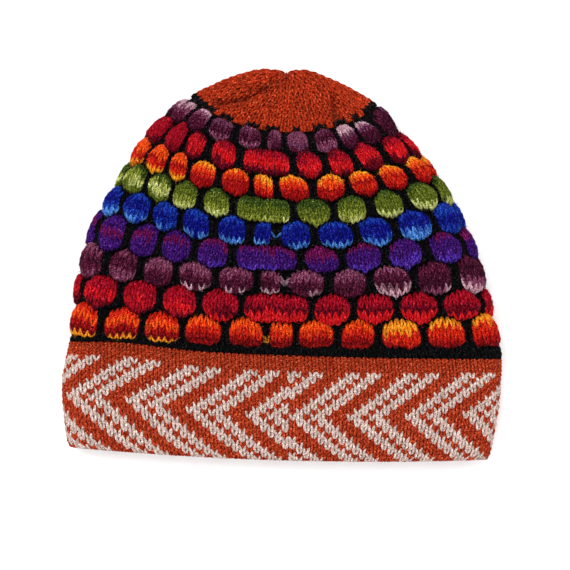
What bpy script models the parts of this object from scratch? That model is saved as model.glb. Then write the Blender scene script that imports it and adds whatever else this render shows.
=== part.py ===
"""Knitted beanie with a chevron band, nine rounds of puff stitch and a gathered crown, folded flat.

The hat lies on its back. +X runs across it, +Y from its hem to its crown and +Z up. The origin is on the
surface that it lies on, under the middle of its box. All lengths are in metres.
"""

from collections import namedtuple

import bmesh
import bpy
import numpy as np

# Driving dimensions of the laid hat
WIDTH = 0.234
LENGTH = 0.207
BODY_THICKNESS = 0.03
LOFT = 0.012
KNIT_WALL = 0.0035
PUFF_RISE = 0.0045
CROWN_DIMPLE = 0.0015
KNIT_GAP = 0.0003

# Stitches in one round of puffs. Each puff has one black stitch beside it, which is counted with it.
PUFF_STITCHES = 6
JOIN_PUFF_STITCHES = 4
FULL_PUFFS = 21
ROUND_STITCHES = FULL_PUFFS * PUFF_STITCHES + JOIN_PUFF_STITCHES

# How far the puffs of each round are shifted from even spacing, in stitches. The columns are at the left fold,
# half way to it, half way to the right fold, and at the right fold, which is FOLD_STITCHES from the join.
FOLD_STITCHES = 26
Spread = namedtuple("Spread", "left_fold left right right_fold")
SPREADS = (
    Spread(-0.1, -0.4, 0.0, 1.1),
    Spread(0.0, -0.2, 0.5, 1.7),
    Spread(1.0, -0.3, 1.1, 2.0),
    Spread(1.6, -0.4, 1.3, 2.6),
    Spread(1.9, -0.3, 1.4, 3.0),
    Spread(2.0, -0.5, 2.0, 3.5),
    Spread(2.1, -1.3, 2.7, 3.0),
    Spread(0.3, -2.8, 2.3, 3.6),
    Spread(-3.0, -4.2, 2.8, 1.6),
)

# Shape of a puff, 2 being an ellipsoid, how much of its rise is left on the upright side of a fold, and how far
# the wall is drawn in over the round hem, as shares of it
PUFF_SQUARENESS = 2.5
RISE_ON_SIDES = 0.6
HEM_DRAWN_IN = 0.3

# Facets
COLUMNS_PER_PUFF = 4
COLUMNS = COLUMNS_PER_PUFF * (FULL_PUFFS + 1)
OUTLINE_POINTS = 480

# Where each section of the folded hat lies. x is a share of half the width, y of the length from the hem,
# thickness of BODY_THICKNESS, lift (its underside's height) of PUFF_RISE, loft of LOFT, and join, where the
# rounds begin and end, of half the width. fullness rounds the curve that a course takes between the folds.
Section = namedtuple(
    "Section", "left_x left_y right_x right_y middle_y fullness thickness lift loft join"
)
SECTIONS = {
    "hem": Section(-0.975, 0.036, 0.943, 0.004, 0.003, 1.0, 0.64, 0.0, 0.08, 0.03),
    "band_middle": Section(-1.0, 0.186, 0.987, 0.145, 0.137, 1.1, 0.72, 0.0, 0.2, 0.03),
    "band_top": Section(-0.966, 0.3, 0.998, 0.262, 0.272, 1.1, 0.76, 0.0, 0.4, 0.018),
    "first_puffs": Section(-0.956, 0.323, 0.988, 0.295, 0.3, 1.1, 0.82, 0.6, 0.5, 0.009),
    "top_1": Section(-0.93, 0.405, 0.945, 0.372, 0.359, 1.1, 0.92, 1.0, 0.7, -0.014),
    "top_2": Section(-0.912, 0.479, 0.918, 0.436, 0.428, 1.1, 0.97, 1.0, 0.86, -0.041),
    "top_3": Section(-0.878, 0.556, 0.878, 0.522, 0.488, 1.1, 1.0, 1.0, 0.96, -0.063),
    "top_4": Section(-0.816, 0.637, 0.824, 0.591, 0.548, 1.1, 1.0, 1.0, 1.0, -0.082),
    "top_5": Section(-0.746, 0.7, 0.768, 0.66, 0.609, 1.1, 1.0, 1.0, 1.0, -0.088),
    "top_6": Section(-0.682, 0.762, 0.696, 0.722, 0.669, 1.05, 0.97, 1.0, 0.95, -0.086),
    "top_7": Section(-0.617, 0.822, 0.623, 0.778, 0.728, 1.0, 0.92, 1.0, 0.85, -0.079),
    "top_8": Section(-0.523, 0.882, 0.526, 0.838, 0.79, 0.9, 0.84, 1.0, 0.7, -0.054),
    "top_9": Section(-0.414, 0.934, 0.432, 0.912, 0.844, 0.8, 0.74, 0.9, 0.52, -0.014),
    "crown_low": Section(-0.31, 0.963, 0.324, 0.95, 0.893, 0.8, 0.61, 0.7, 0.35, 0.0),
    "crown_high": Section(-0.187, 0.988, 0.209, 0.979, 0.938, 0.9, 0.47, 0.6, 0.2, 0.014),
    "crown_neck": Section(-0.07, 1.0, 0.1, 0.998, 0.974, 1.0, 0.33, 0.6, 0.07, 0.018),
    "crown_point": Section(0.005, 0.992, 0.035, 0.992, 0.988, 1.0, 0.13, 1.3, 0.0, 0.02),
}
PLACES = list(SECTIONS)

# Yarns, in linear colour, and the yarn of each round of puffs from the band up
YARN_ROUGHNESS = 0.9
YARNS = {
    "rust_yarn": (0.42, 0.075, 0.018),
    "gold_red_yarn": (0.72, 0.16, 0.012),
    "crimson_yarn": (0.47, 0.006, 0.016),
    "plum_yarn": (0.12, 0.012, 0.05),
    "violet_yarn": (0.1, 0.012, 0.25),
    "royal_blue_yarn": (0.008, 0.025, 0.34),
    "green_yarn": (0.075, 0.12, 0.012),
    "mauve_yarn": (0.17, 0.03, 0.09),
}
PUFF_YARNS = (
    "gold_red_yarn",
    "crimson_yarn",
    "plum_yarn",
    "violet_yarn",
    "royal_blue_yarn",
    "green_yarn",
    "gold_red_yarn",
    "crimson_yarn",
    "mauve_yarn",
)


def section_at(place):
    """The section at a place along PLACES, on a smooth curve through its neighbours."""
    last = len(PLACES) - 1
    before = min(max(int(place), 0), last - 1)
    rows = [SECTIONS[PLACES[min(max(before + step, 0), last)]] for step in (-1, 0, 1, 2)]
    p0, p1, p2, p3 = (np.array(row) for row in rows)
    f = place - before
    pull = (p2 - p0) * f + (2 * p0 - 5 * p1 + 4 * p2 - p3) * f**2 + (3 * p1 - p0 - 3 * p2 + p3) * f**3
    return Section(*(p1 + pull / 2))


def outline(place, inset):
    """Closely spaced points once round the hat, from the left fold over the upper layer and back below."""
    at = section_at(place)
    narrower = 1 - 2 * inset / WIDTH
    left, right = at.left_x * WIDTH / 2 * narrower, at.right_x * WIDTH / 2 * narrower
    reach, middle = (right - left) / 2, (right + left) / 2
    half = min(at.thickness * BODY_THICKNESS / 2 - inset, reach)
    straight = 2 * (reach - half)
    bend = half * np.pi / 2
    way = np.linspace(0, 2 * (straight + 2 * bend), OUTLINE_POINTS, endpoint=False)
    under = way > straight + 2 * bend
    way = np.where(under, 2 * (straight + 2 * bend) - way, way)
    first = np.clip(way / half, 0, np.pi / 2)
    second = np.clip((way - bend - straight) / half, 0, np.pi / 2)
    x = np.clip(way - bend, 0, straight) - straight / 2 - half * np.cos(first) + half * np.sin(second)
    z = half * np.sin(first) * np.cos(second) * np.where(under, -1, 1)
    across = np.clip(x / reach, -1, 1)
    rise = at.left_y + (at.right_y - at.left_y) * (across + 1) / 2
    sag = (at.left_y + at.right_y) / 2 - at.middle_y
    y = (rise - sag * (1 - across**2) ** at.fullness) * (LENGTH - inset)
    z = z + np.where(under, 0, at.loft * LOFT * (1 - across**2))
    z = z + at.lift * PUFF_RISE + at.thickness * BODY_THICKNESS / 2
    return np.stack([x + middle, y, np.maximum(z, 0)], axis=1)


def course(place, turns, inset=0.0, join_place=None):
    """Points on one round at these shares of its length, from the join in the upper layer towards +X."""
    points = outline(place, inset)
    loop = np.vstack([points, points[:1]])
    length = np.concatenate([[0], np.cumsum(np.linalg.norm(np.diff(loop, axis=0), axis=1))])
    upper = slice(0, OUTLINE_POINTS // 2)
    join = section_at(place if join_place is None else join_place).join * WIDTH / 2
    start = np.interp(join, points[upper, 0], length[upper])
    at = (start + np.asarray(turns) * length[-1]) % length[-1]
    return np.stack([np.interp(at, length, loop[:, axis]) for axis in range(3)], axis=1)


def puff_columns(row):
    """The columns of facets in a round of puffs: their turns, and their places in the puff from -1 to 1.

    Each round is shifted by half a puff against the one below, so the join falls in a narrow puff or in
    a pair that has grown together.
    """
    pair = row % 2 == 0
    at_join = JOIN_PUFF_STITCHES + PUFF_STITCHES * pair
    join_columns = COLUMNS_PER_PUFF * (1 + pair)
    widths = [(at_join, join_columns)]
    widths += [(PUFF_STITCHES, COLUMNS_PER_PUFF)] * ((ROUND_STITCHES - at_join) // PUFF_STITCHES)
    edge = -at_join / 2
    turns, across = [], []
    for stitches, columns in widths:
        share = np.arange(columns) / columns
        turns.extend((edge + stitches * share) / ROUND_STITCHES)
        across.extend(2 * share - 1)
        edge += stitches
    turns = np.array(turns)
    away = (turns * ROUND_STITCHES + ROUND_STITCHES / 2) % ROUND_STITCHES - ROUND_STITCHES / 2
    turns = turns + spread(row, away) / ROUND_STITCHES
    return turns, np.array(across)


def spread(row, away):
    """How far a round's stitches are shifted, at these distances from the join. Nothing shifts at the back."""
    back, half = ROUND_STITCHES / 2, FOLD_STITCHES / 2
    at = SPREADS[row - 1]
    knots = (-back, -FOLD_STITCHES, -half, 0, half, FOLD_STITCHES, back)
    return np.interp(away, knots, (0, at.left_fold, at.left, 0, at.right, at.right_fold, 0))


def raised(place, turns, rise, join_place):
    """Points of a round lifted off the wall along its outward normal, and not below the surface."""
    step, turn = 0.02, 0.001
    here = course(place, turns, 0.0, join_place)
    around = course(place, turns + turn, 0.0, join_place) - course(place, turns - turn, 0.0, join_place)
    upward = course(place + step, turns, 0.0, join_place) - course(place - step, turns, 0.0, join_place)
    normal = np.cross(around, upward)
    normal /= np.linalg.norm(normal, axis=1)[:, None]
    rise = rise * (RISE_ON_SIDES + (1 - RISE_ON_SIDES) * abs(normal[:, 2]))
    lifted = here + normal * rise[:, None]
    lifted[:, 2] = np.maximum(lifted[:, 2], 0)
    return lifted


def skin(bm, lower, upper):
    """Faces between two closed loops of points, where either may have twice the points of the other."""
    if len(lower) < len(upper):
        lower, upper = upper, lower
    per = len(lower) // len(upper)
    for i in range(len(upper)):
        here, there = upper[i], upper[(i + 1) % len(upper)]
        side = [lower[(per * i + k) % len(lower)] for k in range(per + 1)]
        if per == 1:
            bm.faces.new((side[0], side[1], there, here))
        else:
            bm.faces.new((side[0], side[1], here))
            bm.faces.new((side[1], there, here))
            bm.faces.new((side[1], side[2], there))


def fan(bm, loop, tip):
    """Closes a loop to a point."""
    centre = bm.verts.new(tip)
    for i, corner in enumerate(loop):
        bm.faces.new((corner, loop[(i + 1) % len(loop)], centre))


def yarn_material(yarn):
    """The dyed wool, made once and shared by the pieces that are knitted from it."""
    material = bpy.data.materials.get(yarn)
    if material is None:
        material = bpy.data.materials.new(yarn)
        material.use_nodes = True
        shader = material.node_tree.nodes["Principled BSDF"]
        shader.inputs["Base Color"].default_value = (*YARNS[yarn], 1)
        shader.inputs["Roughness"].default_value = YARN_ROUGHNESS
        shader.inputs["Metallic"].default_value = 0
    return material


def knitted_piece(name, loops, yarn, tips=()):
    """One solid through loops of points. With no tips it runs round into itself, as a tube's wall does."""
    bm = bmesh.new()
    rings = [[bm.verts.new(point) for point in loop] for loop in loops]
    for lower, upper in zip(rings, rings[1:]):
        skin(bm, lower, upper)
    if tips:
        fan(bm, rings[0], tips[0])
        fan(bm, rings[-1], tips[1])
    else:
        skin(bm, rings[-1], rings[0])
    bmesh.ops.recalc_face_normals(bm, faces=bm.faces[:])
    mesh = bpy.data.meshes.new(name)
    bm.to_mesh(mesh)
    bm.free()
    mesh.shade_smooth()
    mesh.materials.append(yarn_material(yarn))
    piece = bpy.data.objects.new(name, mesh)
    bpy.context.scene.collection.objects.link(piece)
    return piece


def gap_at(place, next_place):
    """Half of KNIT_GAP as a step of place, so that neighbouring pieces stay that far apart."""
    middle = [course(p, [0.0])[0] for p in (place, next_place)]
    return KNIT_GAP / 2 / np.linalg.norm(middle[1] - middle[0]) * abs(next_place - place)


def band():
    """The chevron band: a flattened tube that is rounded over at the hem."""
    turns = np.arange(COLUMNS) / COLUMNS
    inner = turns[::2]
    top = PLACES.index("band_top")
    end = top - gap_at(top, top - 1)
    loops = [course(0.0, turns, KNIT_WALL * HEM_DRAWN_IN)]
    loops += [course(place, turns) for place in (0.12, 0.6, 1.1, 1.6, end)]
    loops += [course(place, inner, KNIT_WALL) for place in (end, 1.0, 0.12)]
    loops += [course(0.0, inner, KNIT_WALL * (1 - HEM_DRAWN_IN))]
    return knitted_piece("band", loops, "rust_yarn")


def puff_row(row):
    """One round of puffs on the black ground. The first has the plain black rounds below it."""
    turns, across = puff_columns(row)
    inner = turns[::2]
    first = PLACES.index("first_puffs") + row - 1
    start = first - 1 if row == 1 else first
    low = start + gap_at(start, start + 1)
    high = first + 1 - gap_at(first + 1, first)
    middle = first + 0.5
    loops = [course(low, turns, 0.0, middle)] if row == 1 else []
    for up in (-1.0, -0.5, 0.0, 0.5, 1.0):
        place = min(max(middle + up / 2, low), high)
        fall = abs(across) ** PUFF_SQUARENESS + abs(up) ** PUFF_SQUARENESS
        loops.append(raised(place, turns, PUFF_RISE * np.sqrt(np.maximum(1 - fall, 0)), middle))
    loops += [course(place, inner, KNIT_WALL, middle) for place in (high, low)]
    return knitted_piece(f"puff_row_{row}", loops, PUFF_YARNS[row - 1])


def crown_top():
    """The gathered crown, which closes to a point in a small dimple at the top edge."""
    turns = np.arange(COLUMNS // 2) / (COLUMNS // 2)
    inner = turns[::2]
    start = PLACES.index("top_9")
    tip = len(PLACES) - 1
    low = start + gap_at(start, start + 1)
    inside = [course(place, inner, KNIT_WALL) for place in (start + 1.6, start + 0.8, low)]
    outside = [course(start + up, turns) for up in (low - start, 0.6, 1.3, 2.1, 3.0, tip - start)]
    tips = (inside[0].mean(axis=0), outside[-1].mean(axis=0) - (0, CROWN_DIMPLE, 0))
    return knitted_piece("crown_top", inside + outside, "rust_yarn", tips)


def centre_on_floor(pieces):
    """Moves all pieces together so that the origin is under the middle of their box."""
    corners = np.array([v.co[:] for piece in pieces for v in piece.data.vertices])
    low, high = corners.min(axis=0), corners.max(axis=0)
    shift = -(low + high) / 2
    shift[2] = -low[2]
    for piece in pieces:
        for vertex in piece.data.vertices:
            vertex.co = vertex.co[:] + shift


for leftover in list(bpy.data.objects):
    bpy.data.objects.remove(leftover)
hat = [band()] + [puff_row(row) for row in range(1, len(PUFF_YARNS) + 1)] + [crown_top()]
centre_on_floor(hat)
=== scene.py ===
"""Looks of the alpaca beanie: knitted stitch by stitch over the folded form that the CAD model gives.

The hat lies on its back. +X runs across it, +Y from its hem to its crown and +Z up. Lengths are in metres.
"""

from collections import namedtuple

import bpy
import numpy as np
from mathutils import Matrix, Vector


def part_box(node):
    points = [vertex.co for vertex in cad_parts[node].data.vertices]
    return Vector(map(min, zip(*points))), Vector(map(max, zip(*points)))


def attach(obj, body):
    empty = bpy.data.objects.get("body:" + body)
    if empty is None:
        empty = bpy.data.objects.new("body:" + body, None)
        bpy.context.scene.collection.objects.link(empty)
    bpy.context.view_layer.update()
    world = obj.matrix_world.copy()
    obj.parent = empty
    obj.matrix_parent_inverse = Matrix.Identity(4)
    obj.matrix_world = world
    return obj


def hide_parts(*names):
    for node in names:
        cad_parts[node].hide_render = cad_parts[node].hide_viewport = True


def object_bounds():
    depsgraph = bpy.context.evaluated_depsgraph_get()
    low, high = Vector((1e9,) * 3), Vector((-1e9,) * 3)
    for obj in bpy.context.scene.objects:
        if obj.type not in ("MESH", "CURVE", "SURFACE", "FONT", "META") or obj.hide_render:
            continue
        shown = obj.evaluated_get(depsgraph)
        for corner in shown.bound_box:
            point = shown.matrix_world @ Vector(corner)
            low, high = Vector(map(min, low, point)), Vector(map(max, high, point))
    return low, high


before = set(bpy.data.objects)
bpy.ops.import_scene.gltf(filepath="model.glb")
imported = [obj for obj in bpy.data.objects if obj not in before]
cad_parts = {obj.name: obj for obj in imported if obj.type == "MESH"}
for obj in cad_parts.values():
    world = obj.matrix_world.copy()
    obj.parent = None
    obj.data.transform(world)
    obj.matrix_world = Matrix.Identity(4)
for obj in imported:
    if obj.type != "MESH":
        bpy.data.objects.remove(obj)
cad_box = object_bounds()
bpy.ops.object.select_all(action="DESELECT")


# The band
# A tube of stocking stitch in rust orange alpaca, with cream chevrons that point to the left. It is knitted
# in the round, so the pattern jogs at the join, and it is turned in over the hem.

# Where each section of the folded hat lies. x is a share of half the width, y of the length from the hem,
# thickness of BODY_THICKNESS, lift (its underside's height) of PUFF_RISE, loft of LOFT, and join, where the
# rounds begin and end, of half the width. fullness rounds the curve that a course takes between the folds.
Section = namedtuple(
    "Section", "left_x left_y right_x right_y middle_y fullness thickness lift loft join"
)
SECTIONS = {
    "hem": Section(-0.975, 0.036, 0.943, 0.004, 0.003, 1.0, 0.64, 0.0, 0.08, 0.03),
    "band_middle": Section(-1.0, 0.186, 0.987, 0.145, 0.137, 1.1, 0.72, 0.0, 0.2, 0.03),
    "band_top": Section(-0.966, 0.3, 0.998, 0.262, 0.272, 1.1, 0.76, 0.0, 0.4, 0.018),
    "first_puffs": Section(-0.956, 0.323, 0.988, 0.295, 0.3, 1.1, 0.82, 0.6, 0.5, 0.009),
    "top_1": Section(-0.93, 0.405, 0.945, 0.372, 0.359, 1.1, 0.92, 1.0, 0.7, -0.014),
    "top_2": Section(-0.912, 0.479, 0.918, 0.436, 0.428, 1.1, 0.97, 1.0, 0.86, -0.041),
    "top_3": Section(-0.878, 0.556, 0.878, 0.522, 0.488, 1.1, 1.0, 1.0, 0.96, -0.063),
    "top_4": Section(-0.816, 0.637, 0.824, 0.591, 0.548, 1.1, 1.0, 1.0, 1.0, -0.082),
    "top_5": Section(-0.746, 0.7, 0.768, 0.66, 0.609, 1.1, 1.0, 1.0, 1.0, -0.088),
    "top_6": Section(-0.682, 0.762, 0.696, 0.722, 0.669, 1.05, 0.97, 1.0, 0.95, -0.086),
    "top_7": Section(-0.617, 0.822, 0.623, 0.778, 0.728, 1.0, 0.92, 1.0, 0.85, -0.079),
    "top_8": Section(-0.523, 0.882, 0.526, 0.838, 0.79, 0.9, 0.84, 1.0, 0.7, -0.054),
    "top_9": Section(-0.414, 0.934, 0.432, 0.912, 0.844, 0.8, 0.74, 0.9, 0.52, -0.014),
    "crown_low": Section(-0.31, 0.963, 0.324, 0.95, 0.893, 0.8, 0.61, 0.7, 0.35, 0.0),
    "crown_high": Section(-0.187, 0.988, 0.209, 0.979, 0.938, 0.9, 0.47, 0.6, 0.2, 0.014),
    "crown_neck": Section(-0.07, 1.0, 0.1, 0.998, 0.974, 1.0, 0.33, 0.6, 0.07, 0.018),
    "crown_point": Section(0.005, 0.992, 0.035, 0.992, 0.988, 1.0, 0.13, 1.3, 0.0, 0.02),
}
PLACES = list(SECTIONS)

# The laid hat's sizes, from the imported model: the band is as wide as the hat, and the hem lies at its front
band_low, band_high = (np.array(corner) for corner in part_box("band"))
hat_low, hat_high = (np.array(corner) for corner in cad_box)
WIDTH = (band_high[0] - band_low[0]) * 2 / (SECTIONS["band_top"].right_x - SECTIONS["band_middle"].left_x)
LENGTH = hat_high[1] - hat_low[1]
ORIGIN = np.array([band_low[0] + WIDTH / 2, hat_low[1], 0.0])
BODY_THICKNESS = 0.03
LOFT = 0.012
KNIT_WALL = 0.0035
PUFF_RISE = 0.0045
OUTLINE_POINTS = 960
# Anything above this height is in the upper layer
UPPER_LAYER = BODY_THICKNESS / 4


def section_at(place):
    """The section at a place along PLACES, on a smooth curve through its neighbours."""
    last = len(PLACES) - 1
    before = min(max(int(place), 0), last - 1)
    rows = [SECTIONS[PLACES[min(max(before + step, 0), last)]] for step in (-1, 0, 1, 2)]
    p0, p1, p2, p3 = (np.array(row) for row in rows)
    f = place - before
    pull = (p2 - p0) * f + (2 * p0 - 5 * p1 + 4 * p2 - p3) * f**2 + (3 * p1 - p0 - 3 * p2 + p3) * f**3
    return Section(*(p1 + pull / 2))


def outline(place, inset):
    """Closely spaced points once round the hat, from the left fold over the upper layer and back below."""
    at = section_at(place)
    narrower = 1 - 2 * inset / WIDTH
    left, right = at.left_x * WIDTH / 2 * narrower, at.right_x * WIDTH / 2 * narrower
    reach, middle = (right - left) / 2, (right + left) / 2
    half = min(at.thickness * BODY_THICKNESS / 2 - inset, reach)
    straight = 2 * (reach - half)
    bend = half * np.pi / 2
    way = np.linspace(0, 2 * (straight + 2 * bend), OUTLINE_POINTS, endpoint=False)
    under = way > straight + 2 * bend
    way = np.where(under, 2 * (straight + 2 * bend) - way, way)
    first = np.clip(way / half, 0, np.pi / 2)
    second = np.clip((way - bend - straight) / half, 0, np.pi / 2)
    x = np.clip(way - bend, 0, straight) - straight / 2 - half * np.cos(first) + half * np.sin(second)
    z = half * np.sin(first) * np.cos(second) * np.where(under, -1, 1)
    across = np.clip(x / reach, -1, 1)
    rise = at.left_y + (at.right_y - at.left_y) * (across + 1) / 2
    sag = (at.left_y + at.right_y) / 2 - at.middle_y
    y = (rise - sag * (1 - across**2) ** at.fullness) * (LENGTH - inset)
    z = z + np.where(under, 0, at.loft * LOFT * (1 - across**2))
    z = z + at.lift * PUFF_RISE + at.thickness * BODY_THICKNESS / 2
    return np.stack([x + middle, y, z], axis=1) + ORIGIN


def course(place, turns, inset, join_place=None):
    """Points on one round at these shares of its length, from the join in the upper layer towards +X."""
    points = outline(place, inset)
    loop = np.vstack([points, points[:1]])
    length = np.concatenate([[0], np.cumsum(np.linalg.norm(np.diff(loop, axis=0), axis=1))])
    upper = slice(0, OUTLINE_POINTS // 2)
    join = ORIGIN[0] + section_at(place if join_place is None else join_place).join * WIDTH / 2
    start = np.interp(join, points[upper, 0], length[upper])
    at = (start + np.asarray(turns) * length[-1]) % length[-1]
    return np.stack([np.interp(at, length, loop[:, axis]) for axis in range(3)], axis=1)


# A fabric is a fine grid of points and outward normals, with GRAIN steps to a stitch both ways
GRAIN = 6
Fabric = namedtuple("Fabric", "points normals")


def lookup(field, up, across):
    """What a grid holds at these fractions of its rows and columns. The columns wrap round the hat."""
    rows, columns = field.shape[:2]
    up = np.clip(up, 0, rows - 1.001)
    row, column = up.astype(int), np.floor(across).astype(int)
    f, g = (up - row)[..., None], (across - column)[..., None]
    here, there = column % columns, (column + 1) % columns
    low = field[row, here] * (1 - g) + field[row, there] * g
    high = field[row + 1, here] * (1 - g) + field[row + 1, there] * g
    return low * (1 - f) + high * f


def fabric_of(points):
    """Adds the outward normals to a grid of points that runs round the hat."""
    around = np.roll(points, -1, axis=1) - np.roll(points, 1, axis=1)
    normals = np.cross(around, np.gradient(points, axis=0))
    return Fabric(points, normals / np.maximum(np.linalg.norm(normals, axis=2), 1e-12)[..., None])


# Half of a stitch is one bead of yarn, modelled once: a small ball that every stitch stretches along its two
# legs. Its axis, from pole to pole, runs along the yarn.
bpy.ops.mesh.primitive_uv_sphere_add(segments=6, ring_count=4, radius=1)
bead = bpy.context.object
BEAD_POINTS = np.array([v.co[:] for v in bead.data.vertices])
BEAD_FACES = [tuple(face.vertices) for face in bead.data.polygons]
bpy.data.objects.remove(bead)

# A stitch, as shares of its own width and height: how far its legs lean out, and how long and wide they are
LEG_FOOT = 0.1
LEG_HEAD = 0.4
LEG_REACH = 0.88
LEG_WIDTH = 0.25
LEG_PLUMP = 0.00085
LEG_ARCH = 0.0003
LEG_DIP = 1.6
STRAND_SHIFT = 20

# How much chance there is in each leg of a stitch
LEG_LEAN_CHANCE = 0.02
LEG_WIDTH_CHANCE = 0.08
LEG_REACH_CHANCE = 0.05
LEG_PLACE_CHANCE = 0.03
LEG_PLUMP_CHANCE = 0.1
LEG_TONE_CHANCE = 0.07
draw = np.random.default_rng(11)

# What a piece of knitting is made of. strands says where each corner lies in its own yarn.
Knit = namedtuple("Knit", "corners faces dyes strands")


def stitched(fabric, columns, rows, dyes, plump=1.0, reach=LEG_REACH):
    """The two legs of each stitch, centred on these columns and rows of the fabric."""
    count = len(columns)
    corners, strands, faces = [], [], []
    for side in (-1, 1):
        bead_x, bead_y, along = (BEAD_POINTS[None, :, axis] for axis in range(3))
        wobble = draw.normal(0, 1, (4, count, 1))
        centre = columns[:, None] + side * (LEG_FOOT + (LEG_HEAD - LEG_FOOT) * (along + 1) / 2)
        centre = centre + LEG_LEAN_CHANCE * wobble[0] * along
        across = centre + bead_x * LEG_WIDTH * (1 + LEG_WIDTH_CHANCE * wobble[1])
        up = rows[:, None] + reach * along * (1 + LEG_REACH_CHANCE * wobble[2]) + LEG_PLACE_CHANCE * wobble[3]
        height = LEG_PLUMP * plump * bead_y * (1 + LEG_PLUMP_CHANCE * wobble[1])
        height = height + LEG_ARCH * (1 - along**2 * LEG_DIP)
        place = lookup(fabric.points, up * GRAIN, across * GRAIN)
        normal = lookup(fabric.normals, up * GRAIN, across * GRAIN)
        corners.append(place + normal * height[..., None])
        shift = draw.uniform(0, STRAND_SHIFT, (count, 1))
        strands.append(np.stack(np.broadcast_arrays(bead_x, bead_y, along + shift), axis=2))
    corners = np.concatenate(corners).reshape(-1, 3)
    corners[:, 2] = np.maximum(corners[:, 2], 0.0)
    strands = np.concatenate(strands).reshape(-1, 3)
    tone = draw.normal(1, LEG_TONE_CHANCE, (2 * count, 1))
    dyes = np.repeat(np.concatenate([dyes, dyes]) * tone, len(BEAD_POINTS), axis=0)
    for leg in range(2 * count):
        start = leg * len(BEAD_POINTS)
        faces.extend(tuple(start + corner for corner in face) for face in BEAD_FACES)
    return Knit(corners, faces, dyes, strands)


# A stray fibre starts inside its stitch, at this share of the yarn's thickness. Its dye is faded and uneven.
HAIR_ROOT = 0.6
HAIR_WIDTH = 0.00009
HAIR_LENGTHS = (0.001, 0.0026)
HAIR_RISES = (0.0004, 0.0012)
HAIR_FADES = (0.7, 1.0)
HAIR_TONES = (0.7, 1.3)
HAIR_FACES = ((0, 2, 1), (0, 1, 3), (1, 2, 3), (2, 0, 3))


def fuzzed(fabric, columns, rows, dyes, share):
    """Stray fibres, this many to a stitch: thin spikes in faded tints of their stitches' dyes."""
    picked = draw.choice(len(columns), int(len(columns) * share))
    count = len(picked)
    at_x = (columns[picked] + draw.uniform(-0.5, 0.5, count)) * GRAIN
    at_y = (rows[picked] + draw.uniform(-0.5, 0.5, count)) * GRAIN
    foot = lookup(fabric.points, at_y, at_x)
    normal = lookup(fabric.normals, at_y, at_x)
    way = draw.normal(0, 1, (count, 3))
    way = way - normal * np.sum(way * normal, axis=1)[:, None]
    way = way / np.linalg.norm(way, axis=1)[:, None]
    low = foot + normal * LEG_PLUMP * HAIR_ROOT
    length, rise = (draw.uniform(*limits, (count, 1)) for limits in (HAIR_LENGTHS, HAIR_RISES))
    tip = low + way * length + normal * rise
    beside, above = np.cross(way, normal) * HAIR_WIDTH, normal * HAIR_WIDTH
    corners = np.stack([low + beside, low - beside, low + above, tip], axis=1)
    corners[..., 2] = np.maximum(corners[..., 2], 0.0)
    faces = (4 * np.arange(count)[:, None, None] + np.array(HAIR_FACES)).reshape(-1, 3)
    faded = dyes[picked] ** draw.uniform(*HAIR_FADES, (count, 1)) * draw.uniform(*HAIR_TONES, (count, 1))
    corners, tint = corners.reshape(-1, 3), np.repeat(faded, 4, axis=0)
    return Knit(corners, [tuple(face) for face in faces.tolist()], tint, np.zeros_like(corners))


# How far the wall stays above the floor
WALL_CLEARANCE = 0.0002


def walled(outer, inner, outer_dyes, inner_dyes):
    """The wall behind the stitches: a closed skin over the outer loops and back over the inner ones."""
    loops = np.concatenate([outer, inner[::-1]])
    count, columns = loops.shape[:2]
    row, column = np.meshgrid(np.arange(count), np.arange(columns), indexing="ij")
    above, beside = (row + 1) % count, (column + 1) % columns
    quads = ((row, column), (row, beside), (above, beside), (above, column))
    faces = np.stack([r * columns + c for r, c in quads], axis=2).reshape(-1, 4)
    corners = loops.reshape(-1, 3).copy()
    corners[:, 2] = np.maximum(corners[:, 2], WALL_CLEARANCE)
    dyes = np.concatenate([outer_dyes, inner_dyes[::-1]]).reshape(-1, 3)
    return Knit(corners, [tuple(face) for face in faces.tolist()], dyes, np.zeros_like(corners))


# How much light falls on the laid hat, where 1 shows a colour as it is
STUDIO_LIGHT = 1.35


def linear(red, green, blue):
    """The colour that looks like this on a screen, 0 to 255, under the studio's light."""
    share = np.array([red, green, blue]) / 255
    return np.where(share <= 0.04045, share / 12.92, ((share + 0.055) / 1.055) ** 2.4) / STUDIO_LIGHT


# The wool's fibres and its mottling, in waves to a metre, and how much they lighten and fade the dye: random
# tone, and painted highlights where the fibres catch the light
FIBRE_SCALE = 2600
MOTTLE_SCALE = 1300
FIBRE_CONTRAST = 3.2
FIBRE_FADE_AND_HIGHLIGHT = 2.4
FIBRE_SHARE = 0.55
MOTTLE_SHARE = 0.45
# The yarn's plies: how often they go round, how steeply they climb, how much painted shade they put in the
# dye along their twist, and how much they stand out
PLIES = 2.0
PLY_PITCH = 5.0
PLY_PAINTED_SHADE = 0.03
PLY_HEIGHT = 0.35


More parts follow.
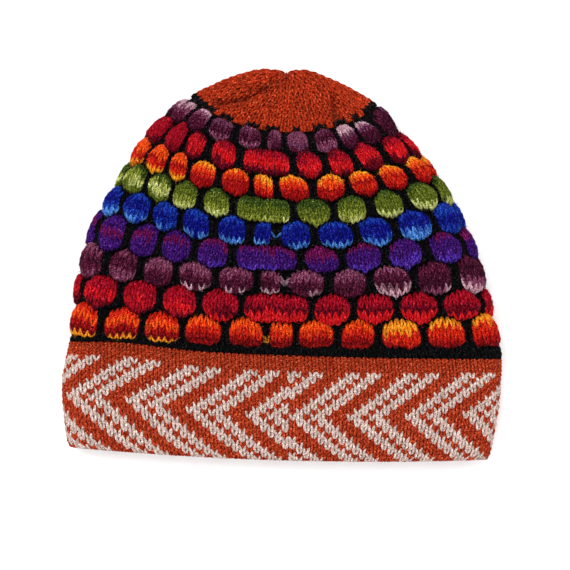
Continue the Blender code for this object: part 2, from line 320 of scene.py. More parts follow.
def wool_group():
    """Spun wool: fibres that run along the yarn and twist round it, lighter where they stand out, which is
    painted light: painted highlights on the fibres' random mottle, and painted shade between the plies.
    """
    group = bpy.data.node_groups.new("spun wool", "ShaderNodeTree")
    for name, way, kind in (
        ("Dye", "INPUT", "Color"),
        ("Contrast", "INPUT", "Float"),
        ("Fade", "INPUT", "Float"),
        ("Color", "OUTPUT", "Color"),
        ("Height", "OUTPUT", "Float"),
    ):
        group.interface.new_socket(name, in_out=way, socket_type="NodeSocket" + kind)
    nodes, link = group.nodes, group.links.new
    inside, outside = nodes.new("NodeGroupInput"), nodes.new("NodeGroupOutput")

    def math(operation, first, second=0.0):
        node = nodes.new("ShaderNodeMath")
        node.operation = operation
        for socket, value in zip(node.inputs, (first, second)):
            if isinstance(value, float):
                socket.default_value = value
            else:
                link(value, socket)
        return node.outputs[0]

    def noise(scale, detail):
        node = nodes.new("ShaderNodeTexNoise")
        node.inputs["Scale"].default_value = scale
        node.inputs["Detail"].default_value = detail
        link(place.outputs["Object"], node.inputs["Vector"])
        return node.outputs["Fac"]

    strand = nodes.new("ShaderNodeAttribute")
    strand.attribute_name = "strand"
    parts = nodes.new("ShaderNodeSeparateXYZ")
    link(strand.outputs["Vector"], parts.inputs[0])
    turn = math("ARCTAN2", parts.outputs["Y"], parts.outputs["X"])
    climb = math("MULTIPLY", parts.outputs["Z"], PLY_PITCH)
    twist = math("SINE", math("ADD", math("MULTIPLY", turn, PLIES), climb))

    place = nodes.new("ShaderNodeTexCoord")
    fibres, mottle = noise(FIBRE_SCALE, 3), noise(MOTTLE_SCALE, 2)
    grain = math("ADD", math("MULTIPLY", fibres, FIBRE_SHARE), math("MULTIPLY", mottle, MOTTLE_SHARE))
    # painted light: the fibres and the plies' twist lighten the dye where they stand out and darken it
    # between them, and the mottle lightens it in random spots
    light = math("ADD", math("SUBTRACT", grain, 0.5), math("MULTIPLY", twist, PLY_PAINTED_SHADE))
    level = math("ADD", math("MULTIPLY", light, inside.outputs["Contrast"]), 1.0)
    pale = math("SUBTRACT", 1.0, math("MULTIPLY", light, inside.outputs["Fade"]))
    tinted = nodes.new("ShaderNodeGamma")
    link(inside.outputs["Dye"], tinted.inputs["Color"])
    link(pale, tinted.inputs["Gamma"])
    shade = nodes.new("ShaderNodeVectorMath")
    shade.operation = "SCALE"
    link(tinted.outputs["Color"], shade.inputs[0])
    link(level, shade.inputs["Scale"])
    link(shade.outputs[0], outside.inputs["Color"])
    link(math("ADD", math("MULTIPLY", twist, PLY_HEIGHT), fibres), outside.inputs["Height"])
    return group


def yarn_material():
    """Dyed alpaca wool, which is matt: each stitch holds its own dye, darkened with painted shade on the
    walls and in the creases.
    """
    material = bpy.data.materials.new("alpaca_yarn")
    material.use_nodes = True
    nodes, link = material.node_tree.nodes, material.node_tree.links.new
    shader = nodes["Principled BSDF"]
    shader.inputs["Roughness"].default_value = 0.92
    shader.inputs["Specular IOR Level"].default_value = 0.04
    dye = nodes.new("ShaderNodeAttribute")
    dye.attribute_name = "dye"
    spun = nodes.new("ShaderNodeGroup")
    spun.node_tree = wool_group()
    spun.inputs["Contrast"].default_value = FIBRE_CONTRAST
    spun.inputs["Fade"].default_value = FIBRE_FADE_AND_HIGHLIGHT
    bump = nodes.new("ShaderNodeBump")
    bump.inputs["Strength"].default_value = 0.5
    bump.inputs["Distance"].default_value = 0.0003
    link(dye.outputs["Color"], spun.inputs["Dye"])
    link(spun.outputs["Color"], shader.inputs["Base Color"])
    link(spun.outputs["Height"], bump.inputs["Height"])
    link(bump.outputs["Normal"], shader.inputs["Normal"])
    return material


yarn = yarn_material()


def knitted(name, knits, node):
    """One piece made of these bits of knitting, riding on the hat in place of its plain solid."""
    corners = np.concatenate([knit.corners for knit in knits])
    dyes = np.concatenate([knit.dyes for knit in knits])
    strands = np.concatenate([knit.strands for knit in knits])
    faces, start = [], 0
    for knit in knits:
        faces.extend(tuple(start + corner for corner in face) for face in knit.faces)
        start += len(knit.corners)
    mesh = bpy.data.meshes.new(name)
    mesh.from_pydata(corners.tolist(), [], faces)
    # the dye attribute holds each corner's colour: its yarn's dye, with painted shade on the walls and in the
    # creases
    paint = mesh.color_attributes.new("dye", "FLOAT_COLOR", "POINT")
    paint.data.foreach_set("color", np.column_stack([dyes, np.ones(len(dyes))]).ravel())
    strand = mesh.attributes.new("strand", "FLOAT_VECTOR", "POINT")
    strand.data.foreach_set("vector", strands.ravel())
    mesh.materials.append(yarn)
    mesh.shade_smooth()
    piece = bpy.data.objects.new(name, mesh)
    bpy.context.scene.collection.objects.link(piece)
    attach(piece, "root")
    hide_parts(node)


# The chart: two cream diagonals, each two stitches wide, then plain rust, mirrored at the points' course
BAND_STITCHES = 126
BAND_COURSES = 21
APEX_COURSE = 8
APEX_HEIGHT = 0.425
PATTERN_REACH = 8
CHEVRON = 8
CREAM_PLACES = (0, 1, 3, 4)
YARN_INSET = 0.0009
WALL_SINK = 0.0003
# The wall seen between the stitches is the yarn's dye darkened by this share: painted shade in the gaps
WALL_PAINTED_SHADE = 0.4
RUST = linear(152, 44, 19)
CREAM = linear(193, 168, 158)

# The band is stretched by a stitch towards the left fold, and its top border rises there
BAND_STRETCH = 1.1
JOIN_STRETCH = 0.1
BORDER_RISE = 0.0028
BORDER_RISE_X = -0.086
BORDER_RISE_REACH = 0.029
BORDER_RISE_BLEND = 0.004
# The hem is drawn in over its last courses, and turns in with a tight curve
HEM_DRAWN_IN = 0.0009
HEM_COURSES = 3
HEM_CURVE = 0.9


def risen(points, near_border):
    """Lifts the fabric's upper layer towards the crown, by how near it is to the band's top border."""
    from_peak = points[..., 0] - ORIGIN[0] - BORDER_RISE_X
    upper = np.clip((points[..., 2] - UPPER_LAYER) / BORDER_RISE_BLEND, 0, 1)
    lifted = points.copy()
    lifted[..., 1] += BORDER_RISE * near_border * np.exp(-((from_peak / BORDER_RISE_REACH) ** 2)) * upper
    return lifted


stitch_places = np.arange(BAND_STITCHES * GRAIN) / GRAIN
from_join = (stitch_places + BAND_STITCHES / 2) % BAND_STITCHES - BAND_STITCHES / 2
left_fold = -BAND_STITCHES / 4 + 1
stretch_at = (-BAND_STITCHES / 2, left_fold, left_fold / 3, 0)
stretch = np.interp(from_join, stretch_at, (0, -BAND_STRETCH, -JOIN_STRETCH, 0))
band_turns = (stitch_places + stretch) / BAND_STITCHES
band_end = PLACES.index("band_top")
points_at = APEX_COURSE + 0.5
hem_pitch = band_end * APEX_HEIGHT / points_at
band_rows = []
for row in np.arange(-GRAIN, BAND_COURSES * GRAIN + 1) / GRAIN:
    place = band_end * np.interp(row, (0, points_at, BAND_COURSES), (0, APEX_HEIGHT, 1))
    inset = YARN_INSET + HEM_DRAWN_IN * np.clip(1 - row / HEM_COURSES, 0, 1) ** 2
    if row < 1:
        round_hem = (1 - row) / 2 * np.pi
        place = hem_pitch * (1 - np.sin(round_hem) * HEM_CURVE)
        inset = YARN_INSET + HEM_DRAWN_IN + (KNIT_WALL - YARN_INSET) * (1 - np.cos(round_hem)) / 2
    band_rows.append(risen(course(place, band_turns, inset), np.clip(row / APEX_COURSE, 0, 1)))
band_fabric = fabric_of(np.array(band_rows))


def band_dye(column, row):
    """Cream where the chart says so, else rust."""
    from_apex = abs(row - APEX_COURSE)
    charted = from_apex <= PATTERN_REACH and (column - from_apex) % CHEVRON in CREAM_PLACES
    return CREAM if charted else RUST


def cells(courses, stitches):
    """The middles of the stitches in these courses: their columns and their rows."""
    row, column = np.meshgrid(courses, np.arange(stitches), indexing="ij")
    return column.ravel() + 0.5, row.ravel() + 0.5


columns, rows = cells(np.arange(-1, BAND_COURSES), BAND_STITCHES)
band_dyes = np.array([band_dye(int(column), int(np.floor(row))) for column, row in zip(columns, rows)])
knitted("band_knit", [stitched(band_fabric, columns, rows + 1, band_dyes)], "band")

# Inside, the knitting shows its purl side: a ridge for each course, with the cream yarn carried across it.
# Between the ridges the rust is darker, which is painted shade.
PURL_RIDGE = 0.0004
INSIDE_FROM = 0.12
VALLEY_RUST_PAINTED_SHADE = 0.5
CARRIED_CREAM = 0.12
behind = (band_fabric.points - band_fabric.normals * WALL_SINK)[GRAIN // 2 :: GRAIN, :: 2 * GRAIN]
inner_places = np.linspace(INSIDE_FROM, band_end, 2 * BAND_COURSES)
inner_insets = KNIT_WALL + PURL_RIDGE * np.tile([-1, 1], BAND_COURSES)
inner_turns = band_turns[:: 2 * GRAIN]
inner = np.array([course(place, inner_turns, inset) for place, inset in zip(inner_places, inner_insets)])
inner_tint = np.full(inner.shape, RUST)
# painted shade between the purl ridges, with a little of the carried cream
inner_tint[::2] = RUST * VALLEY_RUST_PAINTED_SHADE + CREAM * CARRIED_CREAM
# the band's wall between the stitches is rust with painted shade
band_wall = walled(behind, inner, np.full(behind.shape, RUST * WALL_PAINTED_SHADE), inner_tint)
knitted("band_inside_knit", [band_wall], "band")


# The black rounds
# Two plain rounds in black alpaca between the band and the first puffs, knitted on four more stitches than
# the band.
GROUND_COURSES = 2
ROUND_STITCHES = 130
BLACK = linear(5, 5, 6)
# The black wall seen between the black stitches is darker than the yarn: painted shade
BLACK_PAINTED_SHADE = 0.6

ground_first = band_end
ground_turns = np.arange(ROUND_STITCHES * GRAIN) / (ROUND_STITCHES * GRAIN)
ground_places = ground_first + np.arange(GROUND_COURSES * GRAIN + 1) / (GROUND_COURSES * GRAIN)
ground_rows = [
    risen(course(place, ground_turns, YARN_INSET), 1 + ground_first - place) for place in ground_places
]
ground = fabric_of(np.array(ground_rows))
columns, rows = cells(np.arange(GROUND_COURSES), ROUND_STITCHES)
ground_stitches = stitched(ground, columns, rows, np.tile(BLACK, (len(columns), 1)))
behind = (ground.points - ground.normals * WALL_SINK)[::GRAIN, ::GRAIN]
inner_places = np.linspace(ground_first, ground_first + 1, GROUND_COURSES + 1)
inner = np.array([course(place, ground_turns[::GRAIN], KNIT_WALL) for place in inner_places])
# painted shade: the wall behind and inside the black rounds is darker than the black yarn
tint = np.full(behind.shape, BLACK * BLACK_PAINTED_SHADE)
ground_knits = [ground_stitches, walled(behind, inner, tint, tint)]
knitted("black_rounds_knit", ground_knits, "puff_row_1")


# The puffs
# Nine rounds of puffs in space-dyed yarns on black. A puff is five stitches wide and five high. Each round is
# shifted by half a puff, so the join has a narrow puff in one round and a wide one in the next.

# One puff with the black stitch beside it and the black course below it
PUFF_STITCHES = 6
PUFF_COURSES = 6
HALF_STITCH = 0.5
JOIN_PUFF_STITCHES = ROUND_STITCHES % PUFF_STITCHES
PUFF_SQUARENESS = 3.2
RISE_ON_SIDES = 0.6
LAST_ROUND_RISE = 0.7

# The black beside a puff, in stitches, the share of it that stays flat, and how far it spreads at the puff's
# corners, as shares of what the puff can spare. A puff keeps HALF_TOP stitches on each side of its middle.
BLACK_BESIDE = 0.6
BLACK_FLAT = 0.6
BLACK_AT_FEET = 0.25
BLACK_AT_TOPS = 0.38
CORNER_POWER = 3
HALF_TOP = 1.0
LEAST_SPARE = 0.2
# The black beside full puffs keeps its width while the stitches get smaller towards the crown
BLACK_GROWTH = 0.5

# How far each round reaches in between the puffs of the next, in courses. The join's own puffs reach less.
INTERLOCK = 0.72
NARROW_INTERLOCK = 0.05
WIDE_INTERLOCK = 0.15

# How far a puff stays clear of the black courses, at its middle and, beyond that, at its corners, in courses.
# The first round stands level, and the last round's tops are pointed, most of all at the folds.
Clearance = namedtuple("Clearance", "middle corners")
FEET = Clearance(0.34, 0.4)
TOPS = Clearance(0.28, 0.5)
FIRST_FEET = Clearance(0.3, 0.15)
LAST_TOPS = Clearance(0.35, 2.1)
LAST_AT_FOLDS = 1.5
FOLD_REACH = 3
TEETH = 0.8

# How much chance there is in each puff: in the black beside it, its lean and its stitches' edges
BESIDE_CHANCE = 0.12
LEAN_CHANCE = 0.28
EDGE_CHANCE = 0.2

# How far the puffs of each round are shifted from even spacing, in stitches. The columns are at the left
# fold, half way to it, half way to the right fold, and at the right fold.
FOLD_STITCHES = 26
Spread = namedtuple("Spread", "left_fold left right right_fold")
SPREADS = (
    Spread(-0.1, -0.4, 0.0, 1.1),
    Spread(0.0, -0.2, 0.5, 1.7),
    Spread(1.0, -0.3, 1.1, 2.0),
    Spread(1.6, -0.4, 1.3, 2.6),
    Spread(1.9, -0.3, 1.4, 3.0),
    Spread(2.0, -0.5, 2.0, 3.5),
    Spread(2.1, -1.3, 2.7, 3.0),
    Spread(0.3, -2.8, 2.3, 3.6),
    Spread(-3.0, -4.2, 2.8, 1.6),
)

DYES = {
    "gold": linear(224, 132, 21),
    "orange": linear(217, 62, 10),
    "flame": linear(190, 26, 8),
    "red": linear(146, 7, 7),
    "deep-red": linear(100, 4, 6),
    "bright-red": linear(188, 12, 18),
    "crimson": linear(142, 4, 20),
    "dark-crimson": linear(78, 2, 13),
    "magenta": linear(84, 6, 58),
    "plum": linear(68, 12, 35),
    "dark-plum": linear(47, 6, 23),
    "pale-pink": linear(186, 140, 154),
    "rose": linear(108, 47, 74),
    "violet": linear(46, 9, 88),
    "blue-violet": linear(62, 30, 140),
    "royal-blue": linear(5, 9, 104),
    "mid-blue": linear(12, 40, 140),
    "light-blue": linear(62, 118, 196),
    "dark-green": linear(44, 62, 14),
    "leaf": linear(76, 88, 18),
    "lime": linear(116, 124, 38),
    "pale-lime": linear(174, 180, 98),
    "mauve": linear(88, 36, 66),
}
# Each round's yarn from its puffs' feet to their tops, as it falls at the left, the middle and the right, and
# how many courses it drifts by from puff to puff
Round = namedtuple("Round", "slot left middle right drift")
ROUNDS = (
    Round(
        "gold_red_yarn",
        "gold deep-red red orange flame",
        "red deep-red red flame orange",
        "deep-red red flame flame gold",
        0.2,
    ),
    Round(
        "crimson_yarn",
        "dark-crimson crimson bright-red crimson crimson",
        "bright-red bright-red dark-crimson crimson crimson",
        "bright-red bright-red dark-crimson crimson crimson",
        0.4,
    ),
    Round(
        "plum_yarn",
        "rose plum dark-plum plum rose",
        "pale-pink plum dark-plum plum rose",
        "pale-pink rose dark-plum dark-plum plum",
        0.5,
    ),
    Round(
        "violet_yarn",
        "violet violet violet magenta violet",
        "blue-violet violet violet violet magenta",
        "blue-violet violet violet violet magenta",
        0.5,
    ),
    Round(
        "royal_blue_yarn",
        "light-blue mid-blue royal-blue royal-blue mid-blue",
        "light-blue royal-blue royal-blue royal-blue mid-blue",
        "light-blue mid-blue royal-blue royal-blue mid-blue",
        0.5,
    ),
    Round(
        "green_yarn",
        "leaf pale-lime lime dark-green dark-green",
        "pale-lime lime leaf leaf dark-green",
        "pale-lime leaf leaf leaf dark-green",
        0.5,
    ),
    Round(
        "gold_red_yarn",
        "gold flame red orange orange",
        "red red flame orange gold",
        "red flame red orange gold",
        0.4,
    ),
    Round(
        "crimson_yarn",
        "dark-crimson crimson crimson crimson crimson",
        "dark-crimson bright-red bright-red crimson dark-crimson",
        "dark-crimson bright-red bright-red crimson dark-crimson",
        0.4,
    ),
    Round(
        "mauve_yarn",
        "dark-plum plum plum rose pale-pink",
        "rose dark-plum plum mauve rose",
        "dark-plum dark-plum plum mauve pale-pink",
        1.3,
    ),
)
LAST_ROUND = len(ROUNDS)
# The dyes of a puff start below its first course, change sharply, and waver from stitch to stitch
DYES_FROM = 0.75
DYE_CHANGE = 3
DYE_CHANCE = 0.2
# The share of the way round, to each side of the join, where a round's middle colours end, give or take
MIDDLE_ENDS = 0.11
MIDDLE_CHANCE = 0.012

# Where a strand of a round's own yarn shows beside its narrow puff at the join: on which side of it, and at
# which courses
JoinStrand = namedtuple("JoinStrand", "side dye courses")
JOIN_STRANDS = {
    1: JoinStrand(0, "gold", (1, 2)),
    3: JoinStrand(1, "pale-pink", (3, 4)),
    5: JoinStrand(1, "light-blue", (3,)),
}
JOIN_STRAND_SHADE = 0.5


def puff_edges(row):
    """The stitch at which each puff of a round ends and the next begins, counted from the join."""
    at_join = JOIN_PUFF_STITCHES + PUFF_STITCHES * (row % 2 == 0)
    others = (ROUND_STITCHES - at_join) // PUFF_STITCHES
    return -at_join / 2 + np.concatenate([[0], at_join + PUFF_STITCHES * np.arange(others + 1)])


def round_turns(row, column):
    """Where these stitches of a round lie, in turns from the join. Nothing is shifted at the back."""
    back, half = ROUND_STITCHES / 2, FOLD_STITCHES / 2
    away = (column + back) % ROUND_STITCHES - back
    at = SPREADS[row - 1]
    knots = (-back, -FOLD_STITCHES, -half, 0, half, FOLD_STITCHES, back)
    shift = np.interp(away, knots, (0, at.left_fold, at.left, 0, at.right, at.right_fold, 0))
    return (column + shift) / ROUND_STITCHES


def puffed(row, edges):
    """The fabric of a round of puffs, with PUFF_COURSES courses from one black course to the next."""
    first = PLACES.index("first_puffs") + row - 1
    margin = GRAIN * 2
    column = np.arange(ROUND_STITCHES * GRAIN) / GRAIN
    places = first + np.arange(-margin, PUFF_COURSES * GRAIN + margin + 1) / (PUFF_COURSES * GRAIN)
    turns = round_turns(row, column)
    flat = fabric_of(np.array([course(place, turns, YARN_INSET, first + 0.5) for place in places]))

    # the puff that each column is in, and how far it is from the puff's nearer side
    wrapped = (column - edges[0]) % ROUND_STITCHES + edges[0]
    puff = np.clip(np.searchsorted(edges, wrapped, side="right") - 1, 0, len(edges) - 2)
    low, high = edges[puff], edges[puff + 1]
    width = high - low
    half = np.minimum(width / 2, PUFF_STITCHES / 2)
    right = wrapped - low > width / 2
    edge = np.where(right, high - wrapped, wrapped - low)
    height = np.arange(PUFF_COURSES * GRAIN + 1)[:, None] / GRAIN

    # the black stitches are narrow between the puffs, and spread out at their corners
    growth = 1 + BLACK_GROWTH * (row - 1) / (LAST_ROUND - 1) * (width >= PUFF_STITCHES)
    beside = BLACK_BESIDE * growth + draw.normal(0, BESIDE_CHANCE, len(edges))[puff]
    v = np.clip((height - HALF_STITCH) / (PUFF_COURSES - 1) * 2 - 1, -1, 1)
    spare = np.maximum(half - beside - HALF_TOP, LEAST_SPARE)
    black = beside + spare * np.where(v > 0, BLACK_AT_TOPS, BLACK_AT_FEET) * np.abs(v) ** CORNER_POWER
    dyed = black + (edge - HALF_STITCH) * (half - black) / (half - HALF_STITCH)
    drawn = np.where(edge < HALF_STITCH, edge * black / HALF_STITCH, dyed)
    drawn = np.where(edge >= half, edge, drawn)
    off_middle = np.clip(1 - drawn / half, 0, 1)

    # each round reaches up between the puffs of the next one, so the black courses run in waves
    interlock = np.select(
        [width < PUFF_STITCHES, width > PUFF_STITCHES], [NARROW_INTERLOCK, WIDE_INTERLOCK], INTERLOCK
    )
    wave = interlock * (np.cos(np.pi * off_middle) + 1 - 2 * off_middle) / 2
    bottom = -wave * (row > 1)
    top = PUFF_COURSES + wave * (row < LAST_ROUND)
    feet = FIRST_FEET if row == 1 else FEET
    tops = LAST_TOPS if row == LAST_ROUND else TOPS
    gap_below = feet.middle * growth + feet.corners * off_middle**2
    gap_above = tops.middle * growth + tops.corners * off_middle**2
    if row == LAST_ROUND:
        from_join = np.minimum(column, ROUND_STITCHES - column)
        gap_above = gap_above + LAST_AT_FOLDS * np.exp(-(((from_join - FOLD_STITCHES) / FOLD_REACH) ** 2))

    # every stitch's V makes a tooth in the puff's edges, and no two teeth are quite alike
    stitch = np.round(column).astype(int) % ROUND_STITCHES
    uneven = draw.normal(0, EDGE_CHANCE, (2, ROUND_STITCHES))[:, stitch]
    teeth = TEETH * (2 * np.abs(column - np.round(column)) - 0.5)
    foot = bottom + gap_below + teeth + uneven[0]
    crest = top - gap_above + teeth + uneven[1]
    y = foot + (crest - foot) * np.clip((height - HALF_STITCH) / (PUFF_COURSES - 1), 0, 1)
    y = np.where(height < HALF_STITCH, bottom + (foot - bottom) * height / HALF_STITCH, y)
    over = (top - crest) * (height - PUFF_COURSES + HALF_STITCH) / HALF_STITCH
    y = np.where(height > PUFF_COURSES - HALF_STITCH, crest + over, y)

    # no two puffs sit quite alike: each leans and slants a little
    lean, slant = (draw.normal(0, LEAN_CHANCE, len(edges))[puff] for _ in range(2))
    y = y + slant * np.where(right, 1, -1) * off_middle * (1 - off_middle**2) * (1 - v**4)
    moved = np.where(right, high - drawn, low + drawn) + lean * v * (1 - off_middle**2)
    points = lookup(flat.points, margin + y * GRAIN, moved * GRAIN)
    normals = lookup(flat.normals, margin + y * GRAIN, moved * GRAIN)
    up = 2 * (y - foot) / (crest - foot) - 1
    out = off_middle * half / (half - BLACK_FLAT * black)
    fall = out**PUFF_SQUARENESS + np.abs(up) ** PUFF_SQUARENESS
    relief = PUFF_RISE * np.sqrt(np.maximum(1 - fall, 0)) * (LAST_ROUND_RISE if row == LAST_ROUND else 1)
    relief = relief * (RISE_ON_SIDES + (1 - RISE_ON_SIDES) * np.abs(normals[..., 2]))
    return fabric_of(points + normals * relief[..., None])


def puff_dyes(kind, middle):
    """The five dyes of a puff from its foot up. middle is its place round the hat, from -0.5 to 0.5."""
    side = kind.right if middle > 0 else kind.left
    names = side if abs(middle) + draw.normal(0, MIDDLE_CHANCE) > MIDDLE_ENDS else kind.middle
    return [DYES[name] for name in names.split()]


def round_dyes(row, edges):
    """Each stitch's column, row and dye in a round of puffs, with black for the ground."""
    kind, strand = ROUNDS[row - 1], JOIN_STRANDS.get(row)
    columns, rows, dyes = [], [], []
    for low, high in zip(edges, edges[1:]):
        stops = puff_dyes(kind, ((low + high) / 2 / ROUND_STITCHES + 0.5) % 1 - 0.5)
        lags = draw.normal(0, kind.drift, 2)
        for stitch in np.arange(low, high):
            for level in range(PUFF_COURSES):
                columns.append(stitch)
                rows.append(level)
                if stitch == low or level == 0:
                    shows = strand and stitch == edges[strand.side] and level in strand.courses
                    dyes.append(DYES[strand.dye] * JOIN_STRAND_SHADE if shows else BLACK)
                    continue
                lag = lags[1] if low < 0 <= stitch < high else lags[0]
                at = np.clip(level - DYES_FROM + lag + draw.normal(0, DYE_CHANCE), 0, len(stops) - 1.001)
                share = np.clip((at % 1 - 0.5) * DYE_CHANGE + 0.5, 0, 1)
                dyes.append(stops[int(at)] * (1 - share) + stops[int(at) + 1] * share)
    return np.array(columns), np.array(rows, float), np.array(dyes)


def puff_wall(row, fabric, columns, rows, dyes):
    """The wall behind a round, seen between the stitches: dark with painted shade, and tinted with the puffs'
    own dyes away from the black stitches.
    """
    behind = (fabric.points - fabric.normals * WALL_SINK)[:: GRAIN // 2, ::GRAIN]
    dyed = np.full((PUFF_COURSES, ROUND_STITCHES, 3), BLACK)
    dyed[rows.astype(int), columns.astype(int) % ROUND_STITCHES] = dyes
    black = np.all(dyed == BLACK, axis=2)
    dyed[black | np.roll(black, 1, axis=1) | np.roll(black, -1, axis=1)] = BLACK
    tint = np.full(behind.shape, BLACK * BLACK_PAINTED_SHADE)
    # the rows behind the puffs take the puffs' dyes with painted shade
    for level in range(2, 2 * PUFF_COURSES - 1):
        tint[level] = dyed[(level + 1) // 2] * WALL_PAINTED_SHADE
    first = PLACES.index("first_puffs") + row - 1
    turns = np.arange(ROUND_STITCHES) / ROUND_STITCHES
    places = (first, first + 0.5, first + 1)
    inner = np.array([course(place, turns, KNIT_WALL, first + 0.5) for place in places])
    return walled(behind, inner, tint, np.full(inner.shape, BLACK))


PUFF_PLUMP = 0.85
PUFF_LEG_REACH = 0.78
PUFF_HAIRS = 6.5
for row, kind in enumerate(ROUNDS, 1):
    edges = puff_edges(row)
    fabric = puffed(row, edges)
    columns, rows, dyes = round_dyes(row, edges)
    dyed = np.any(dyes != BLACK, axis=1)
    stitches = stitched(fabric, columns, rows, dyes, PUFF_PLUMP, PUFF_LEG_REACH)
    hairs = fuzzed(fabric, columns[dyed], rows[dyed], dyes[dyed], PUFF_HAIRS)
    wall = puff_wall(row, fabric, columns, rows, dyes)
    knitted(f"puff_row_{row}_knit", [stitches, hairs, wall], f"puff_row_{row}")


# The crown
# Rust orange stocking stitch that is decreased to a few stitches and gathered to a point at the top edge. The
# gathers leave a notch beside the point, and creases run down from it.
CROWN_COUNTS = (64, 64, 64, 56, 56, 48, 40, 40, 32, 24, 16, 8)
CROWN_GRAIN = 128 * GRAIN
CROWN_RUST = linear(154, 37, 11)
CROWN_PLUMP = 1.1
CROWN_LEG_REACH = 0.76
CROWN_HAIRS = 5.0
CROWN_TONE_CHANCE = 0.12
# The crown's wall, between its stitches and inside, is rust darkened by this share: painted shade
CROWN_WALL_PAINTED_SHADE = 0.35
CROWN_WAY_POINTS = 60
CROWN_INNER_LOOPS = 8
# The creases' lines, in metres from the middle of the hem, and each one's share of CREASE_DEPTH
CREASES = (
    (((-0.0064, 0.199), (-0.0199, 0.1918), (-0.0342, 0.1894)), 1.0),
    (((0.0271, 0.1895), (0.0279, 0.1805)), 0.8),
    (((0.0026, 0.2065), (0.0022, 0.2)), 0.3),
)
CREASE_WIDTH = 0.0015
CREASE_DEPTH = 0.004
# They press only what faces up, and paint shade into the dye a little wider than they press
CREASE_BLEND = 3
CREASE_PAINTED_SHADE = 0.45
CREASE_PAINTED_SHADE_SPREAD = 1.6
# The gathers swell a little above the top edge, and most beside the point
GATHER_SWELL = 0.0012
POINT_SWELL = 0.0012
POINT_X = 0.0026
POINT_WIDTH = 0.004
SWELL_FROM = 0.93
# The last round's black stitches reach up into the crown above each puff, and fill the crown's two ends
CREST_REACH = 0.0033
CROWN_MIDDLE = 0.001
CROWN_CORNER = 0.0415


def crease_depth(laid, spread=1.0):
    """How deep the creases press these points, which are measured from the middle of the hem."""
    depth = np.zeros(laid.shape[:-1])
    for line, share in CREASES:
        for start, end in zip(line, line[1:]):
            start, way = np.array(start), np.array(end) - np.array(start)
            along = np.clip((laid[..., :2] - start) @ way / (way @ way), 0, 1)
            away = np.linalg.norm(laid[..., :2] - start - along[..., None] * way, axis=-1)
            pressed = CREASE_DEPTH * share * np.exp(-((away / CREASE_WIDTH / spread) ** 2))
            depth = np.maximum(depth, pressed * (laid[..., 2] > UPPER_LAYER))
    return depth


def gathered(fabric):
    """Presses the creases into the upper layer, and swells the gathers at the top edge."""
    laid = fabric.points - ORIGIN
    upper = np.clip(fabric.normals[..., 2] * CREASE_BLEND, 0, 1)
    pressed = fabric.points - fabric.normals * (crease_depth(laid) * upper)[..., None]
    swell = GATHER_SWELL + POINT_SWELL * np.exp(-(((laid[..., 0] - POINT_X) / POINT_WIDTH) ** 2))
    pressed[..., 1] += swell * np.clip((laid[..., 1] / LENGTH - SWELL_FROM) / (1 - SWELL_FROM), 0, 1)
    return fabric_of(pressed)


crown_first, crown_last = PLACES.index("top_9"), len(PLACES) - 1
crown_way = np.linspace(crown_first, crown_last, CROWN_WAY_POINTS)
crown_y = np.array([section_at(place).middle_y for place in crown_way])
crown_steps = np.linspace(crown_y[0], crown_y[-1], len(CROWN_COUNTS) * GRAIN + 1)
crown_places = np.interp(crown_steps, crown_y, crown_way)
crown_turns = np.arange(CROWN_GRAIN) / CROWN_GRAIN
crown = gathered(fabric_of(np.array([course(place, crown_turns, YARN_INSET) for place in crown_places])))

last_edges = puff_edges(LAST_ROUND)
crest_turns = round_turns(LAST_ROUND, (last_edges[:-1] + last_edges[1:]) / 2)
crests = course(crown_first, crest_turns, YARN_INSET, crown_first - 0.5) - ORIGIN
crown_knits = []
for level, count in enumerate(CROWN_COUNTS):
    # the same fabric, measured in this course's own stitches
    across = np.arange(count * GRAIN) * CROWN_GRAIN / (count * GRAIN)
    up, across = np.meshgrid(np.arange(len(crown.points), dtype=float), across, indexing="ij")
    wider = Fabric(lookup(crown.points, up, across), lookup(crown.normals, up, across))
    columns, rows = cells(np.array([level]), count)
    middles = lookup(wider.points, rows * GRAIN, columns * GRAIN) - ORIGIN
    # painted shade: the crown's dye is darker near the creases' lines
    crease_painted_shade = 1 - CREASE_PAINTED_SHADE * crease_depth(middles, CREASE_PAINTED_SHADE_SPREAD) / CREASE_DEPTH
    dyes = CROWN_RUST * crease_painted_shade[:, None] * draw.normal(1, CROWN_TONE_CHANCE, (count, 1))
    if level == 0:
        to_crest = np.linalg.norm(middles[:, None] - crests[None], axis=2).min(axis=1)
        dyes[(to_crest < CREST_REACH) | (np.abs(middles[:, 0] - CROWN_MIDDLE) > CROWN_CORNER)] = BLACK
    crown_knits.append(stitched(wider, columns, rows, dyes, CROWN_PLUMP, CROWN_LEG_REACH))
    crown_knits.append(fuzzed(wider, columns, rows, dyes, CROWN_HAIRS))
behind = (crown.points - crown.normals * WALL_SINK)[::GRAIN, :: 4 * GRAIN]
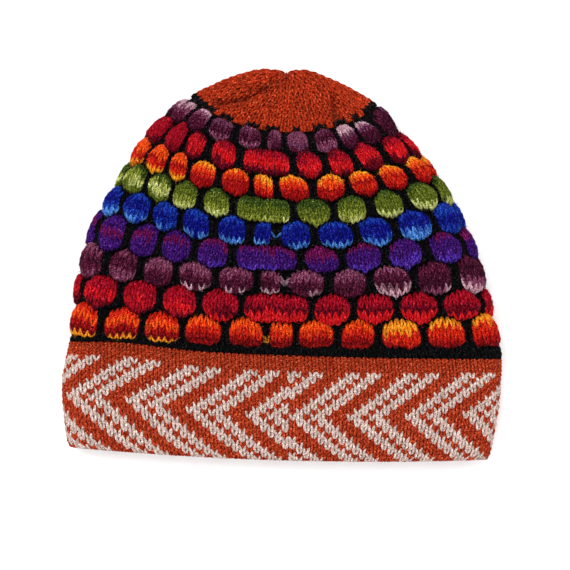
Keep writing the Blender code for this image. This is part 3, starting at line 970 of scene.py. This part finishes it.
inner_places = np.linspace(crown_first, crown_last - 1, CROWN_INNER_LOOPS)
inner = np.array([course(place, crown_turns[:: 4 * GRAIN], KNIT_WALL) for place in inner_places])
# painted shade on the crown's wall, outside between the stitches and inside
tint = np.full(behind.shape, RUST * CROWN_WALL_PAINTED_SHADE)
crown_knits.append(walled(behind, inner, tint, tint[: len(inner)]))
knitted("crown_knit", crown_knits, "crown_top")


# The floor, the studio light and the camera
# A plain white floor under large soft lights. The camera looks straight down at the laid hat.
FLOOR_SIZE = 6
bpy.ops.mesh.primitive_plane_add(size=FLOOR_SIZE)
floor = bpy.context.object
floor.name = "floor"
paper = bpy.data.materials.new("white_paper")
paper.use_nodes = True
paper.node_tree.nodes["Principled BSDF"].inputs["Base Color"].default_value = (0.93, 0.93, 0.93, 1)
paper.node_tree.nodes["Principled BSDF"].inputs["Roughness"].default_value = 0.9
floor.data.materials.append(paper)

world = bpy.data.worlds.new("studio")
bpy.context.scene.world = world
world.use_nodes = True
world.node_tree.nodes["Background"].inputs["Color"].default_value = (1, 1, 1, 1)
world.node_tree.nodes["Background"].inputs["Strength"].default_value = 1.15
for name, place, size, power in (
    ("key_light", (-0.6, 0.8, 1.7), 1.4, 28),
    ("fill_light", (0.9, -0.5, 1.9), 1.6, 12),
):
    bpy.ops.object.light_add(type="AREA", location=place)
    light = bpy.context.object
    light.name = name
    light.data.size = size
    light.data.energy = power
    light.rotation_euler = (-Vector(place)).to_track_quat("-Z", "Y").to_euler()

VIEW_WIDTH = 0.3024
VIEW_MIDDLE = (0.0016, 0.0932)
CAMERA_HEIGHT = 4.0
FOCUS_HEIGHT = 0.015
camera_place = ORIGIN + (*VIEW_MIDDLE, FOCUS_HEIGHT + CAMERA_HEIGHT)
bpy.ops.object.camera_add(location=camera_place, rotation=(0, 0, 0))
camera = bpy.context.object
camera.data.lens = camera.data.sensor_width * CAMERA_HEIGHT / VIEW_WIDTH
camera.data.clip_end = 20
bpy.context.scene.camera = camera
bpy.context.scene.view_settings.view_transform = "Standard"
